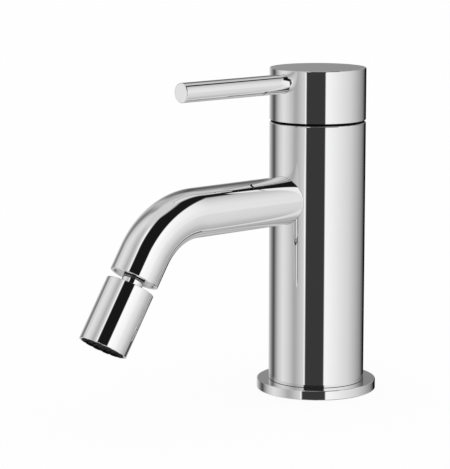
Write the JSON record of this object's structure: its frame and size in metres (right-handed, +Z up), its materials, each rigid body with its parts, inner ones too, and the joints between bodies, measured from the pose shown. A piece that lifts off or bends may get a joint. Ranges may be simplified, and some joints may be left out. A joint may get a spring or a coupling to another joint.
{
  "type": "bidet mixer",
  "caption": "Chrome single-lever bidet mixer: a round column on a flange, a pin lever on a turning cap, a bent tube spout and a ball-jointed nozzle with an aerator.",
  "frame": {"origin": "centre of the base's underside, on the column's axis, at the mouth of the fixing thread", "axes": "+Z up along the column, +X the way the spout and the lever point, +Y to the left of the spout seen from behind"},
  "size_m": [0.1475, 0.05, 0.1353],
  "materials": {
    "chrome": "polished",
    "brass": "turned",
    "steel": "turned",
    "rubber": "matte",
    "ceramic": "lapped",
    "grey_plastic": "moulded",
    "red_plastic": "moulded",
    "white_plastic": "moulded",
    "black_plastic": "moulded"
  },
  "bodies": {
    "body": {"base_flange": "chrome", "base_gasket": "rubber", "foot_seal": "rubber", "body_column": "chrome", "waterway_manifold": "brass", "manifold_seals": "rubber", "cartridge_base": "grey_plastic", "port_seals": "rubber", "fixed_disc": "ceramic", "cartridge_housing": "grey_plastic", "cartridge_nut": "brass", "dome_cover": "black_plastic", "spout_tube": "chrome", "spout_bush": "chrome", "neck_washer": "rubber", "swivel_ball": "chrome"},
    "turret": {"stem_guide": "grey_plastic", "limit_ring": "red_plastic", "pivot_pin": "steel"},
    "handle": {"control_stem": "steel", "handle_cap": "chrome", "lever_rod": "chrome", "lever_stud": "steel"},
    "slider": {"disc_carrier": "black_plastic", "moving_disc": "ceramic"},
    "seat": {"ball_seat": "white_plastic"},
    "nozzle": {"nozzle_shell": "chrome", "ball_retainer": "brass", "ball_seal": "rubber", "aerator_washer": "rubber", "aerator_body": "black_plastic", "aerator_screens": "steel", "flow_grid": "black_plastic"}
  },
  "joints": [
    {"name": "lever_turn", "type": "hinge", "parent": "body", "child": "turret", "pos_m": [0, 0, 0.1029], "axis": [0, 0, 1], "range_deg": [-45, 45]},
    {"name": "lever_lift", "type": "hinge", "parent": "turret", "child": "handle", "pos_m": [0, 0, 0.1029], "axis": [0, -1, 0], "range_deg": [0, 20]},
    {"name": "disc_slide", "type": "slide", "parent": "turret", "child": "slider", "axis": [1, 0, 0], "range_m": [0, 0.0035]},
    {"name": "nozzle_turn", "type": "hinge", "parent": "body", "child": "seat", "pos_m": [0.10294, 0, 0.05171], "axis": [0.5299, 0, -0.848], "continuous": true},
    {"name": "nozzle_tilt", "type": "hinge", "parent": "seat", "child": "nozzle", "pos_m": [0.10294, 0, 0.05171], "axis": [0, -1, 0], "range_deg": [-15, 15]}
  ],
  "couplings": [
    {"joint": "disc_slide", "follows": "lever_lift", "m_per_rad": 0.01}
  ]
}
